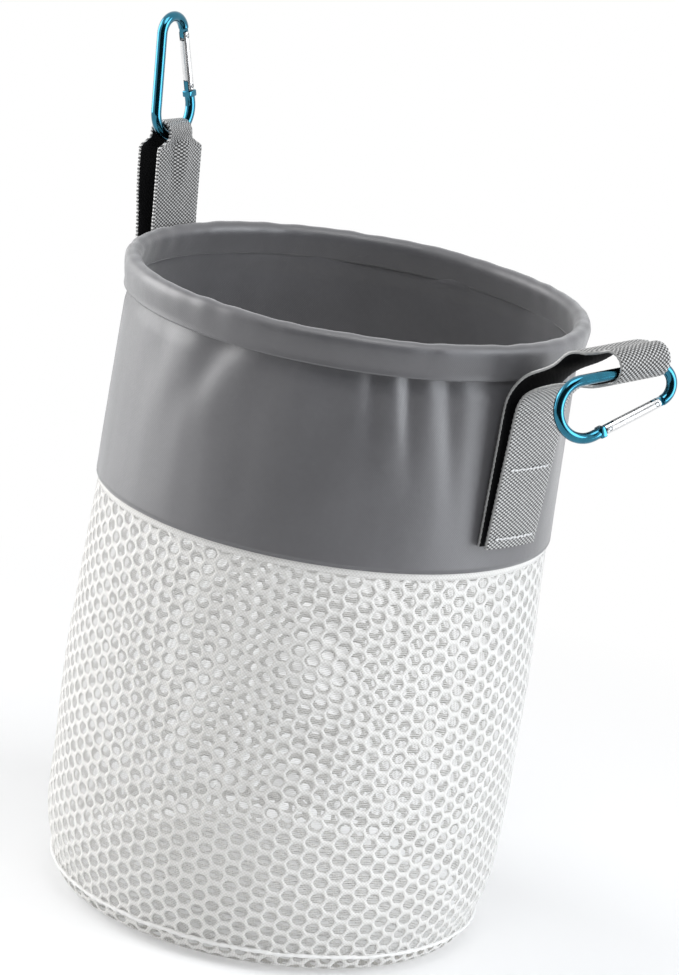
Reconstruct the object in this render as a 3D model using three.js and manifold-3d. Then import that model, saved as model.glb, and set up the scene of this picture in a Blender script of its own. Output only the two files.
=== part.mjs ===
// A round bag for a washing line: a mesh wall and base, a cloth band with a hooped rim,
// and two webbing straps that each carry a snap hook. Millimetres, +Z up, the floor at Z = 0.

import * as THREE from 'three';
import { mergeVertices } from 'three/addons/utils/BufferGeometryUtils.js';
import Module from 'manifold-3d';

const wasm = await Module();
wasm.setup();

// Fits
const seamGap = 0.3; // between two pieces that are sewn, laid or pinned together
const pivotGap = 0.3; // round a pin, and between the gate and the frame
const ringSegments = 48; // flat facets round the bag
const mergeTolerance = 1e-3;

// Bag
const bagHeight = 284; // floor to the top of the rolled rim
const bandBottomRadius = 100.4; // outside of the band at its lower edge
const bandTaper = 1.8; // how much narrower the band is at the hem line
const bandTopRadius = bandBottomRadius - bandTaper;
const bandDepth = 85; // hem line to the band's lower edge
const bandThickness = 1;
const rimOverhang = 3; // how far the rolled rim stands out past the band
const rimRadius = bandTopRadius + rimOverhang; // outside of the rolled rim
const rimDepth = 14; // top of the rim to the hem line
const hoopRodRadius = 1.6;
const hoopEndGap = 1.5; // between the hoop's two ends
const ferruleSlack = 0.4; // round the hoop, and again round the ferrule
const ferruleThickness = 0.5;
const ferruleAngle = THREE.MathUtils.degToRad(14);
const ferruleBore = hoopRodRadius + ferruleSlack;
const ferruleRadius = ferruleBore + ferruleThickness;
const sleeveThickness = 0.7;
const sleeveBore = ferruleRadius + ferruleSlack;
const rollRadius = sleeveBore + sleeveThickness; // half the width of the roll
const wallBulge = 1.1; // how far the mesh wall swells past the band's lower edge
const wallBulgeRadius = bandBottomRadius + wallBulge;
const wallBulgeRise = 72.8; // above the piping, to where the wall is widest
const shoulderRise = 19.4; // above the piping, to where the wall's lower bend ends
const shoulderInset = 1; // how much narrower the wall is there
const wallThickness = 1;
const wallTuck = 12; // how far the wall runs up inside the band
const seamInset = 4.9; // the band's lower edge to the base seam, measured inwards
const seamRadius = bandBottomRadius - seamInset; // outside of the wall at the base seam
const seamHeight = 9;
const baseEdgeWidth = 11.5; // the base seam to the flat of the base
const baseFlatRadius = seamRadius - baseEdgeWidth;
const baseThickness = 1.2;
const baseTurnUp = 7; // the part of the base that stands inside the wall
const pipingRadius = 1.4;

// Straps
const webbingWidth = 30;
const webbingThickness = 1.4;
const tabDrop = 4; // hem line to the top of the sewn tab
const tabHeight = 70.5;
const tabFootGap = 2.8; // between the tab's two layers, at its foot
const tabTopGap = 6; // and at its top
const loopLength = 62.5; // top of the tab to the far end of the loop
const stitchLength = 24;
const stitchHeight = 1.5;
const stitchThickness = 0.6;
const lowerStitchRise = 6; // above the foot of the tab
const upperStitchRise = 37;

// Snap hooks
const hookLength = 58;
const rodRadius = 2.3;
const wideEndRadius = 12; // of the rod's centre line
const narrowEndRadius = 7.5;
const noseLength = 5; // straight rod past the wide end's bend
const gateRadius = 2.2;
const tongueThickness = 2;
const tongueHeight = 3.6;
const noseTongueLength = 4.5;
const hingeReach = 3.2; // end of the frame's rod to the hinge pin
const hingePinRadius = 0.75;
const latchPinRadius = 0.65;
const latchReach = 2.2; // end of the nose to the latch pin
const heelSlack = 0.1; // taken off the gate's heel, which turns inside the frame's end
const spineClearance = 0.45; // between a rod and the loop that it hangs in
const springRadius = 0.6;
const springLength = 11;

// How each strap and hook sits in its rest pose, with angles in degrees and the length lost to slack
const leftStrap = {
  name: 'left',
  turn: 185.5,
  lean: 5,
  skew: 0,
  bightRadius: 4.5,
  bulge: 0.8,
  innerBulge: 0,
  slack: 0,
  gatheredWidth: 15,
};
const rightStrap = {
  name: 'right',
  turn: 0,
  lean: 60,
  skew: 24,
  bightRadius: 6,
  bulge: -2.5,
  innerBulge: -3.5,
  slack: 8,
  gatheredWidth: 18,
};
const rightHookSwing = 108;
const rightHookSeat = 75; // from the loop's end round to its lower layer, where the hook rests
const rightHookSlide = 8; // how far the right hook has slid along its spine

// Heights and radii that follow from the sizes
const rollCentreRadius = rimRadius - rollRadius;
const rollCentreHeight = bagHeight - rollRadius;
const hemHeight = bagHeight - rimDepth;
const bandFootHeight = hemHeight - bandDepth;
const bandTopHeight = rollCentreHeight - ferruleRadius - 2 * seamGap;
const tabTopHeight = hemHeight - tabDrop;
const tabFootHeight = tabTopHeight - tabHeight;

const bandSlope = (bandTopRadius - bandBottomRadius) / bandDepth;
const bandRadiusAt = (z) => bandBottomRadius + bandSlope * (z - bandFootHeight);

// The sewn tab's faces, as radii from the bag's axis
const tabFootRadius = bandRadiusAt(tabFootHeight) + seamGap;
const tabTopRadius = rimRadius + seamGap;
const tabShare = (z) => (z - tabFootHeight) / tabHeight;
const innerLayerAt = (z) => THREE.MathUtils.lerp(tabFootRadius, tabTopRadius, tabShare(z));
const layerGapAt = (z) => THREE.MathUtils.lerp(tabFootGap, tabTopGap, tabShare(z));
const outerLayerAt = (z) => innerLayerAt(z) + webbingThickness + layerGapAt(z);
const strapPivotRadius = outerLayerAt(tabTopHeight) + webbingThickness;

// The snap hook's outline: two arcs joined by the spine and by the gate's line
const hookSpan = hookLength - 2 * rodRadius;
const wideCentre = new THREE.Vector2(wideEndRadius, wideEndRadius);
const narrowCentre = new THREE.Vector2(hookSpan - narrowEndRadius, narrowEndRadius);
const centreStep = narrowCentre.clone().sub(wideCentre);
const gateAngle = 2 * Math.atan2(centreStep.y, centreStep.x);
const gateLine = new THREE.Vector2(Math.cos(gateAngle), Math.sin(gateAngle));
const gateNormal = new THREE.Vector2(-gateLine.y, gateLine.x);
const gateStart = wideCentre.clone().addScaledVector(gateNormal, wideEndRadius);
const gateSpan = centreStep.dot(gateLine);
const noseEnd = noseLength;
const latchPlace = noseEnd + latchReach;
const hingePlace = gateSpan - hingeReach;

const cloth = {
  grey: new THREE.MeshStandardMaterial({ color: 0xa4a8b3, roughness: 0.75 }),
  white: new THREE.MeshStandardMaterial({ color: 0xe4e5ea, roughness: 0.85 }),
  webbing: new THREE.MeshStandardMaterial({ color: 0x9b9b9a, roughness: 0.6 }),
  thread: new THREE.MeshStandardMaterial({ color: 0xc9cbcd, roughness: 0.7 }),
};
const metal = {
  steel: new THREE.MeshStandardMaterial({ color: 0x9a9da0, roughness: 0.35, metalness: 1 }),
  blue: new THREE.MeshStandardMaterial({ color: 0x2a7a96, roughness: 0.2, metalness: 1 }),
  silver: new THREE.MeshStandardMaterial({ color: 0xd8d9da, roughness: 0.25, metalness: 1 }),
};

function named(name, geometry, material) {
  const mesh = new THREE.Mesh(geometry, material);
  mesh.name = name;
  return mesh;
}

// A closed [radius, height] outline turned about the bag's axis
function ring(outline) {
  const points = outline.map(([radius, height]) => new THREE.Vector2(radius, height));
  if (outline[0][0] > 0) points.push(points[0].clone());
  return new THREE.LatheGeometry(points, ringSegments).rotateX(Math.PI / 2);
}

function shapeOf(outline) {
  return new THREE.Shape(outline.map(([x, y]) => new THREE.Vector2(x, y)));
}

function arc(centreX, centreY, radius, fromDegrees, toDegrees, steps) {
  return Array.from({ length: steps + 1 }, (_, i) => {
    const angle = THREE.MathUtils.degToRad(THREE.MathUtils.lerp(fromDegrees, toDegrees, i / steps));
    return [centreX + radius * Math.cos(angle), centreY + radius * Math.sin(angle)];
  });
}

// An outline in X and Z, extruded across Y and centred there
function acrossY(outline, width, steps) {
  return new THREE.ExtrudeGeometry(shapeOf(outline), { depth: width, steps, bevelEnabled: false })
    .translate(0, 0, -width / 2)
    .rotateX(Math.PI / 2);
}

// An outline in X and Y, extruded along Z and centred there
function plate(outline, thickness) {
  return new THREE.ExtrudeGeometry(shapeOf(outline), { depth: thickness, bevelEnabled: false })
    .translate(0, 0, -thickness / 2);
}

function rod(curve, radius, sides, steps) {
  const section = shapeOf(arc(0, 0, radius, 0, 360, sides).slice(0, sides));
  return new THREE.ExtrudeGeometry(section, { steps, extrudePath: curve });
}

function pin(radius, length) {
  return new THREE.CylinderGeometry(radius, radius, length, 12).rotateX(Math.PI / 2);
}

// Moves every vertex to the place that the function gives for it
function reshape(geometry, move) {
  const places = geometry.getAttribute('position');
  const point = new THREE.Vector3();
  for (let i = 0; i < places.count; i += 1) {
    move(point.fromBufferAttribute(places, i));
    places.setXYZ(i, point.x, point.y, point.z);
  }
  geometry.computeVertexNormals();
  return geometry;
}

function toSolid(geometry) {
  const bare = geometry.index ? geometry.toNonIndexed() : geometry.clone();
  bare.deleteAttribute('normal');
  bare.deleteAttribute('uv');
  const merged = mergeVertices(bare, mergeTolerance);
  const triVerts = new Uint32Array(merged.index.array);
  const vertProperties = merged.getAttribute('position').array;
  return new wasm.Manifold(new wasm.Mesh({ numProp: 3, vertProperties, triVerts }));
}

function toGeometry(solid) {
  const { vertProperties, triVerts } = solid.getMesh();
  const geometry = new THREE.BufferGeometry();
  geometry.setAttribute('position', new THREE.BufferAttribute(vertProperties, 3));
  geometry.setIndex(new THREE.BufferAttribute(triVerts, 1));
  geometry.computeVertexNormals();
  return geometry;
}

function joined(first, ...others) {
  return others.reduce((whole, other) => whole.add(toSolid(other)), toSolid(first));
}

function cut(solid, ...tools) {
  return tools.reduce((left, tool) => left.subtract(toSolid(tool)), solid);
}

// Part of a circle round the bag's axis, for the hoop and its ferrule
class RimArc extends THREE.Curve {
  constructor(startAngle, sweep) {
    super();
    this.startAngle = startAngle;
    this.sweep = sweep;
  }

  getPoint(t, target = new THREE.Vector3()) {
    const angle = this.startAngle + this.sweep * t;
    return target.set(
      rollCentreRadius * Math.cos(angle),
      rollCentreRadius * Math.sin(angle),
      rollCentreHeight,
    );
  }
}

function rimHoop() {
  const halfGap = hoopEndGap / 2 / rollCentreRadius;
  const curve = new RimArc(Math.PI / 2 + halfGap, 2 * Math.PI - 2 * halfGap);
  return rod(curve, hoopRodRadius, 8, ringSegments);
}

function hoopFerrule() {
  const overrun = THREE.MathUtils.degToRad(1);
  const outside = new RimArc(Math.PI / 2 - ferruleAngle / 2, ferruleAngle);
  const inside = new RimArc(Math.PI / 2 - ferruleAngle / 2 - overrun, ferruleAngle + 2 * overrun);
  return toGeometry(cut(toSolid(rod(outside, ferruleRadius, 10, 8)), rod(inside, ferruleBore, 10, 8)));
}

// A drop-shaped casing whose two legs hold the band's top edge
function rimSleeve() {
  const outerLeg = bandTopRadius + seamGap;
  const innerLeg = bandTopRadius - bandThickness - seamGap;
  const outside = arc(rollCentreRadius, rollCentreHeight, rollRadius, 0, 180, 10);
  const inside = arc(rollCentreRadius, rollCentreHeight, sleeveBore, 180, 0, 8);
  return ring([
    [outerLeg, hemHeight],
    [outerLeg + sleeveThickness, hemHeight],
    ...outside,
    [innerLeg - sleeveThickness, hemHeight],
    [innerLeg, hemHeight],
    ...inside,
  ]);
}

function fabricBand() {
  const steps = 5;
  const heights = Array.from({ length: steps + 1 }, (_, i) =>
    THREE.MathUtils.lerp(bandFootHeight, bandTopHeight, i / steps));
  const outside = heights.map((z) => [bandRadiusAt(z), z]);
  const inside = heights.map((z) => [bandRadiusAt(z) - bandThickness, z]).reverse();
  return ring([...outside, ...inside]);
}

function meshWall() {
  const bodyFoot = seamHeight + 2 * pipingRadius;
  const wallTop = bandFootHeight + wallTuck;
  const tuckRadiusAt = (z) => bandRadiusAt(z) - bandThickness - seamGap;
  const curve = new THREE.SplineCurve([
    new THREE.Vector2(seamRadius, bodyFoot),
    new THREE.Vector2(wallBulgeRadius - shoulderInset, bodyFoot + shoulderRise),
    new THREE.Vector2(wallBulgeRadius, bodyFoot + wallBulgeRise),
    new THREE.Vector2(tuckRadiusAt(bandFootHeight), bandFootHeight),
  ]);
  const body = curve.getPoints(10).map((point) => [point.x, point.y]);
  const outside = [[seamRadius, seamHeight], ...body, [tuckRadiusAt(wallTop), wallTop]];
  const inside = outside.map(([radius, z]) => [radius - wallThickness, z]).reverse();
  return ring([...outside, ...inside]);
}

// A flat panel whose edge turns up inside the wall
function meshBase() {
  const edgeRadius = seamRadius - wallThickness - seamGap;
  const curve = new THREE.QuadraticBezierCurve(
    new THREE.Vector2(baseFlatRadius, 0),
    new THREE.Vector2(edgeRadius, 0),
    new THREE.Vector2(edgeRadius, seamHeight),
  );
  const under = curve.getPoints(4).map((point) => [point.x, point.y]);
  const top = seamHeight + baseTurnUp;
  const lift = ([radius, z]) => {
    const share = (radius - baseFlatRadius) / (edgeRadius - baseFlatRadius);
    return [radius - baseThickness * share, z + baseThickness * (1 - share)];
  };
  const upper = under.map(lift).reverse();
  return ring([
    [0, 0],
    ...under,
    [edgeRadius, top],
    [edgeRadius - baseThickness, top],
    ...upper,
    [0, baseThickness],
  ]);
}

function basePiping() {
  const radius = seamRadius + seamGap + pipingRadius;
  return ring(arc(radius, seamHeight + pipingRadius / 2, pipingRadius, 0, 360, 10).slice(0, 10));
}

// Bends a flat piece round the band, with distances across it kept as lengths of arc
function wrapRoundBag(point) {
  const angle = point.y / bandBottomRadius;
  point.set(point.x * Math.cos(angle), point.x * Math.sin(angle), point.z);
}

// Two layers of webbing, folded together at the foot and open at the top
function strapTab() {
  const fold = tabFootHeight + webbingThickness;
  const outline = [
    [outerLayerAt(tabFootHeight) + webbingThickness, tabFootHeight],
    [outerLayerAt(tabTopHeight) + webbingThickness, tabTopHeight],
    [outerLayerAt(tabTopHeight), tabTopHeight],
    [outerLayerAt(fold), fold],
    [innerLayerAt(fold) + webbingThickness, fold],
    [innerLayerAt(tabTopHeight) + webbingThickness, tabTopHeight],
    [innerLayerAt(tabTopHeight), tabTopHeight],
    [innerLayerAt(tabFootHeight), tabFootHeight],
  ];
  return reshape(acrossY(outline, webbingWidth, 6), wrapRoundBag);
}

function stitchRow(rise) {
  const low = tabFootHeight + rise - stitchHeight / 2;
  const high = low + stitchHeight;
  const faceAt = (z) => outerLayerAt(z) + webbingThickness + seamGap;
  const outline = [
    [faceAt(low), low],
    [faceAt(low) + stitchThickness, low],
    [faceAt(high) + stitchThickness, high],
    [faceAt(high), high],
  ];
  return reshape(acrossY(outline, stitchLength, 6), wrapRoundBag);
}

// The free loop, in its own frame: Z runs along the strap from the pivot, X points out of its outer face
function strapLoopPlaces(strap) {
  const innerFace = -(2 * webbingThickness + tabTopGap);
  const bightX = innerFace + webbingThickness + strap.bightRadius;
  const bightZ = loopLength - strap.slack - webbingThickness - strap.bightRadius;
  return { innerFace, bightX, bightZ };
}

function strapLoop(strap) {
  const { innerFace, bightX, bightZ } = strapLoopPlaces(strap);
  const steps = 14;
  const endFace = bightX + strap.bightRadius + webbingThickness;
  const levels = Array.from({ length: steps }, (_, i) =>
    THREE.MathUtils.lerp(seamGap, bightZ, i / steps));
  const outerFaceAt = (z) => {
    const share = z / bightZ;
    const swell = strap.bulge * Math.sin(Math.PI * share) ** 2;
    return endFace * THREE.MathUtils.smoothstep(share, 0, 1) + swell;
  };
  const rimReach = bagHeight - tabTopHeight;
  const innerFaceAt = (z) => {
    const share = Math.max(z - rimReach, 0) / (bightZ - rimReach);
    return innerFace + strap.innerBulge * Math.sin(Math.PI * share) ** 2;
  };
  const outside = [
    ...levels.map((z) => [outerFaceAt(z), z]),
    ...arc(bightX, bightZ, strap.bightRadius + webbingThickness, 0, 180, 12),
    ...levels.map((z) => [innerFaceAt(z), z]).reverse(),
  ];
  const inside = [
    ...levels.map((z) => [outerFaceAt(z) - webbingThickness, z]),
    ...arc(bightX, bightZ, strap.bightRadius, 0, 180, 12),
    ...levels.map((z) => [innerFaceAt(z) + webbingThickness, z]).reverse(),
  ];
  const spans = outside.length - 1;
  const skew = THREE.MathUtils.degToRad(strap.skew);
  const gatherFrom = bightZ - 3 * strap.bightRadius;
  const gatherTo = bightZ - strap.bightRadius;
  const strip = new THREE.BoxGeometry(webbingThickness, webbingWidth, spans, 1, 4, spans);
  return reshape(strip, (point) => {
    const face = point.x > 0 ? outside : inside;
    const [x, z] = face[Math.round(point.z + spans / 2)];
    const angle = skew * THREE.MathUtils.smoothstep(z, 0, bightZ);
    const gathered = THREE.MathUtils.smoothstep(z, gatherFrom, gatherTo);
    const across = point.y * THREE.MathUtils.lerp(1, strap.gatheredWidth / webbingWidth, gathered);
    point.set(x, across * Math.cos(angle), z + across * Math.sin(angle));
  });
}

// The centre line of a snap hook's rod, from the nose round both ends to the gate's hinge
class HookLine extends THREE.Curve {
  constructor() {
    super();
    const halfTurn = Math.PI + gateAngle;
    this.lengths = [
      noseLength,
      wideEndRadius * (Math.PI - gateAngle),
      hookSpan - wideEndRadius - narrowEndRadius,
      narrowEndRadius * halfTurn,
    ];
    this.total = this.lengths.reduce((sum, length) => sum + length, 0);
  }

  getPoint(t, target = new THREE.Vector3()) {
    const [nose, wide, spine, narrow] = this.lengths;
    let along = THREE.MathUtils.clamp(t, 0, 1) * this.total;
    if (along <= nose) {
      const place = gateStart.clone().addScaledVector(gateLine, nose - along);
      return target.set(place.x, place.y, 0);
    }
    along -= nose;
    if (along <= wide) {
      const angle = Math.PI / 2 + gateAngle + along / wideEndRadius;
      return target.set(
        wideCentre.x + wideEndRadius * Math.cos(angle),
        wideCentre.y + wideEndRadius * Math.sin(angle),
        0,
      );
    }
    along -= wide;
    if (along <= spine) return target.set(wideEndRadius + along, 0, 0);
    along = Math.min(along - spine, narrow);
    const angle = -Math.PI / 2 + along / narrowEndRadius;
    return target.set(
      narrowCentre.x + narrowEndRadius * Math.cos(angle),
      narrowCentre.y + narrowEndRadius * Math.sin(angle),
      0,
    );
  }
}

// Turns a piece drawn along the gate's line into the hook's own frame
const gateFrame = new THREE.Matrix4()
  .makeRotationZ(gateAngle)
  .setPosition(gateStart.x, gateStart.y, 0);

function hookFrame() {
  const sunk = 1;
  const half = tongueHeight / 2;
  const notch = latchPinRadius + pivotGap;
  const noseTongue = plate([
    [noseEnd - sunk, -half],
    [latchPlace - notch, -half],
    [latchPlace - notch, notch],
    [latchPlace + notch, notch],
    [latchPlace + notch, -half],
    [noseEnd + noseTongueLength, -half],
    [noseEnd + noseTongueLength, half],
    [noseEnd - sunk, half],
  ], tongueThickness);
  const hingeTongue = plate([
    ...arc(hingePlace, 0, half, 90, 270, 8),
    [gateSpan + sunk, -half],
    [gateSpan + sunk, half],
  ], tongueThickness);
  const hingeHole = pin(hingePinRadius + pivotGap, 2 * rodRadius).translate(hingePlace, 0, 0);
  const body = joined(
    rod(new HookLine(), rodRadius, 10, 44),
    noseTongue.applyMatrix4(gateFrame),
    hingeTongue.applyMatrix4(gateFrame),
  );
  return toGeometry(cut(body, hingeHole.applyMatrix4(gateFrame)));
}

// The gate along X, with its hinge pin at the origin
function hookGate() {
  const reach = hingePlace - noseEnd - pivotGap;
  const heel = Math.sqrt((hingeReach - pivotGap) ** 2 - gateRadius ** 2) - heelSlack;
  const length = reach + heel;
  const slotWidth = tongueThickness + 2 * pivotGap;
  const latchSlot = noseTongueLength + pivotGap;
  const hingeSlot = heel + tongueHeight / 2 + pivotGap;
  const body = toSolid(
    new THREE.CylinderGeometry(gateRadius, gateRadius, length, 12)
      .rotateZ(Math.PI / 2)
      .translate(heel - length / 2, 0, 0),
  );
  const spare = 1;
  const slot = (size, low) =>
    new THREE.BoxGeometry(size + spare, 3 * gateRadius, slotWidth).translate(low + (size + spare) / 2, 0, 0);
  const boreEnd = heel - hingeSlot - springLength - pivotGap;
  const boreLength = springLength + 2 * spare;
  const boreRadius = springRadius + pivotGap;
  const bore = new THREE.CylinderGeometry(boreRadius, boreRadius, boreLength, 10)
    .rotateZ(Math.PI / 2)
    .translate(boreEnd + boreLength / 2, 0, 0);
  return toGeometry(cut(
    body,
    slot(latchSlot, -reach - spare),
    slot(hingeSlot, heel - hingeSlot),
    bore,
    pin(hingePinRadius + pivotGap, 3 * gateRadius),
    pin(latchPinRadius + pivotGap, 3 * gateRadius).translate(latchPlace - hingePlace, 0, 0),
  ));
}

function gateSpring() {
  const start = tongueHeight / 2 + pivotGap;
  return new THREE.CylinderGeometry(springRadius, springRadius, springLength, 8)
    .rotateZ(Math.PI / 2)
    .translate(-start - springLength / 2, 0, 0);
}

function snapHook(side) {
  const hook = new THREE.Group();
  const gate = new THREE.Group();
  gate.applyMatrix4(gateFrame);
  gate.translateX(hingePlace);
  const pinLength = 2 * gateRadius - pivotGap;
  const latchPin = named(`${side}_latch_pin`, pin(latchPinRadius, pinLength), metal.steel);
  latchPin.position.x = latchPlace - hingePlace;
  gate.add(
    named(`${side}_gate`, hookGate(), metal.silver),
    named(`${side}_hinge_pin`, pin(hingePinRadius, pinLength), metal.steel),
    latchPin,
    named(`${side}_gate_spring`, gateSpring(), metal.steel),
  );
  hook.add(named(`${side}_hook_frame`, hookFrame(), metal.blue), gate);
  return hook;
}

// The left hook stands in its loop on its wide end, and the right one hangs on its spine
function placeLeftHook(hook) {
  const half = leftStrap.gatheredWidth / 2;
  const bend = wideEndRadius - Math.sqrt((wideEndRadius - rodRadius) ** 2 - half ** 2);
  const pivot = (bend - rodRadius) / 2;
  const turned = new THREE.Group();
  hook.position.set(-pivot, -wideEndRadius, 0);
  turned.setRotationFromMatrix(new THREE.Matrix4().makeBasis(
    new THREE.Vector3(0, 0, 1),
    new THREE.Vector3(0, -1, 0),
    new THREE.Vector3(1, 0, 0),
  ));
  return turned.add(hook);
}

function placeRightHook(hook) {
  const spineMiddle = (wideEndRadius + hookSpan - narrowEndRadius) / 2;
  const turned = new THREE.Group();
  hook.position.set(-spineMiddle - rightHookSlide, 0, 0);
  turned.setRotationFromMatrix(new THREE.Matrix4().makeBasis(
    new THREE.Vector3(0, 1, 0),
    new THREE.Vector3(0, 0, 1),
    new THREE.Vector3(1, 0, 0),
  ));
  const seated = rightStrap.bightRadius - rodRadius - spineClearance;
  const hung = new THREE.Group().add(turned.add(hook));
  const seat = THREE.MathUtils.degToRad(rightHookSeat);
  hung.position.set(seated * Math.sin(seat), 0, seated * Math.cos(seat));
  hung.rotation.y = THREE.MathUtils.degToRad(rightHookSwing);
  return hung;
}

function strapAssembly(strap, placedHook) {
  const side = strap.name;
  const sewn = new THREE.Group();
  sewn.rotation.z = THREE.MathUtils.degToRad(strap.turn);
  sewn.add(
    named(`${side}_strap_tab`, strapTab(), cloth.webbing),
    named(`${side}_lower_stitching`, stitchRow(lowerStitchRise), cloth.thread),
    named(`${side}_upper_stitching`, stitchRow(upperStitchRise), cloth.thread),
  );
  const loop = new THREE.Group();
  loop.position.set(strapPivotRadius, 0, tabTopHeight);
  loop.rotation.y = THREE.MathUtils.degToRad(strap.lean);
  const { bightX, bightZ } = strapLoopPlaces(strap);
  const bight = new THREE.Group();
  bight.position.set(bightX, 0, bightZ);
  bight.rotation.x = THREE.MathUtils.degToRad(strap.skew);
  bight.add(placedHook);
  loop.add(named(`${side}_strap_loop`, strapLoop(strap), cloth.webbing), bight);
  return sewn.add(loop);
}

const bag = new THREE.Group();
bag.add(
  named('rim_hoop', rimHoop(), metal.steel),
  named('hoop_ferrule', hoopFerrule(), metal.steel),
  named('rim_sleeve', rimSleeve(), cloth.grey),
  named('fabric_band', fabricBand(), cloth.grey),
  named('mesh_wall', meshWall(), cloth.white),
  named('mesh_base', meshBase(), cloth.white),
  named('base_piping', basePiping(), cloth.white),
  strapAssembly(leftStrap, placeLeftHook(snapHook('left'))),
  strapAssembly(rightStrap, placeRightHook(snapHook('right'))),
);

export default bag;
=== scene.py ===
import math

import bmesh
import bpy
from mathutils import Matrix, Vector, noise


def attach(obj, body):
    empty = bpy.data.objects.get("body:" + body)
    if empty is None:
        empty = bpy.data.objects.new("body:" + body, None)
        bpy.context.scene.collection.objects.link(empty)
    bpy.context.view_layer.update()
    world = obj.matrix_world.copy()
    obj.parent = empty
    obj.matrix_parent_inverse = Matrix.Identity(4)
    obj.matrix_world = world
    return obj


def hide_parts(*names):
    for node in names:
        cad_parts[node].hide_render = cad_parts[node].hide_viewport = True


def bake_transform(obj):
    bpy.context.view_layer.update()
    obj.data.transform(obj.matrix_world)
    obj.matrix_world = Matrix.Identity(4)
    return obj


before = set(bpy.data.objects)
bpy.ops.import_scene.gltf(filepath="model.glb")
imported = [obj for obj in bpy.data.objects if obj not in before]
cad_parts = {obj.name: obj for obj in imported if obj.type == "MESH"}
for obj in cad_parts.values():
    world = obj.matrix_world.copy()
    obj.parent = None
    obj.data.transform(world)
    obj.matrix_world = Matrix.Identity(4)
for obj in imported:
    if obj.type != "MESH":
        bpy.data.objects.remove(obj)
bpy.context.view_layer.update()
mm = 0.001
fineWeld = 0.000005
quarterTurn = math.pi / 2
print("frame loaded:", len(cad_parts), "nodes")

scene = bpy.context.scene
scene.view_settings.view_transform = "Standard"


def smoothStep(value, low, high):
    share = min(max((value - low) / (high - low), 0.0), 1.0)
    return share * share * (3 - 2 * share)


def mixed(a, b, share):
    return a + (b - a) * share


def onCurve(points, spot):
    # a place on a smooth curve through points, where spot counts the points
    last = len(points) - 1
    i = min(max(int(spot), 0), last - 1)
    t = spot - i
    p0, p1, p2, p3 = (Vector(points[min(max(k, 0), last)]) for k in (i - 1, i, i + 1, i + 2))
    bend = (2 * p0 - 5 * p1 + 4 * p2 - p3) * t * t + (3 * p1 - p0 - 3 * p2 + p3) * t ** 3
    return 0.5 * (2 * p1 + (p2 - p0) * t + bend)


def radiusFrom(table, z):
    # table holds (height, radius) pairs; the radius at z is eased between them
    last = len(table) - 1
    i = next((k for k in range(last) if z <= table[k + 1][0]), last - 1)
    low, high = table[i], table[i + 1]
    t = min(max((z - low[0]) / (high[0] - low[0]), 0.0), 1.0)
    return onCurve(table, i + t).y


noiseStep = 7.3  # how far apart the noises of two seeds lie


def ringNoise(angle, turns, height, seed):
    # soft noise that meets itself after one turn round the bag
    place = Vector((turns * math.cos(angle), turns * math.sin(angle), height + noiseStep * seed))
    return noise.noise(place)


def ringWaves(waves, angle, z):
    # soft noises added up, each as its depth, its turns, the height that it changes over and its seed
    return sum(depth * ringNoise(angle, turns, z / tall, seed) for depth, turns, tall, seed in waves)


def allOf(bm):
    return bm.verts[:] + bm.edges[:] + bm.faces[:]


def vertsOf(geom):
    return [g for g in geom if isinstance(g, bmesh.types.BMVert)]


def moveVerts(bm, verts, shift):
    bmesh.ops.translate(bm, vec=shift, verts=verts)


def turnVerts(bm, verts, angle, axis):
    bmesh.ops.rotate(bm, matrix=Matrix.Rotation(angle, 3, axis), verts=verts)


def addRing(bm, sides, radius):
    return bmesh.ops.create_circle(bm, segments=sides, radius=radius, cap_ends=False)["verts"]


def addBlock(bm, size, place):
    block = bmesh.ops.create_cube(bm, size=1)["verts"]
    bmesh.ops.scale(bm, vec=size, verts=block)
    moveVerts(bm, block, place)
    return block


def flatSheet(bm, across, up, acrossSteps, upSteps):
    # a flat sheet from 0 to across and 0 to up
    grid = bmesh.ops.create_grid(bm, x_segments=acrossSteps, y_segments=upSteps, size=0.5)
    moveVerts(bm, grid["verts"], (0.5, 0.5, 0))
    bmesh.ops.scale(bm, vec=(across, up, 1), verts=grid["verts"])


def keepFlatUv(bm):
    # the flat sheet's own sizes, in metres, become its UV map
    layer = bm.loops.layers.uv.new("clothUv")
    for face in bm.faces:
        for loop in face.loops:
            loop[layer].uv = loop.vert.co.xy


def wrapSheet(bm, foot, radiusAt):
    # bends a flat sheet round the bag's axis, with its lower edge at the height foot
    for vert in bm.verts:
        angle = vert.co.x / (bag["sheetTurn"] * mm)
        z = foot + vert.co.y / mm
        radius = radiusAt(angle, z)
        vert.co = Vector((radius * math.cos(angle), radius * math.sin(angle), z)) * mm


def addSection(bm, sides, thick, radius, height):
    # a round section, ready to be spun about the bag's axis
    ring = addRing(bm, sides, thick * mm)
    turnVerts(bm, ring, quarterTurn, "X")
    moveVerts(bm, ring, (radius * mm, 0, height * mm))


def spinRound(bm, steps):
    bmesh.ops.spin(
        bm, geom=bm.verts[:] + bm.edges[:], cent=(0, 0, 0), axis=(0, 0, 1), angle=2 * math.pi,
        steps=steps, use_merge=True,
    )


def bevelEdges(bm, edges, offset):
    bmesh.ops.bevel(bm, geom=edges, offset=offset, segments=2, profile=0.5, affect="EDGES", material=-1)


def finishPiece(name, bm, material, body, weld=0.00002):
    if weld:
        bmesh.ops.remove_doubles(bm, verts=bm.verts, dist=weld)
    bmesh.ops.recalc_face_normals(bm, faces=bm.faces)
    for face in bm.faces:
        face.smooth = True
    data = bpy.data.meshes.new(name)
    bm.to_mesh(data)
    bm.free()
    piece = bpy.data.objects.new(name, data)
    scene.collection.objects.link(piece)
    data.materials.append(material)
    if body:
        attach(piece, body)
    return piece


def addThickness(piece, thickness, offset=-1):
    wall = piece.modifiers.new("thickness", "SOLIDIFY")
    wall.thickness = thickness
    wall.offset = offset
    return wall


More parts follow.
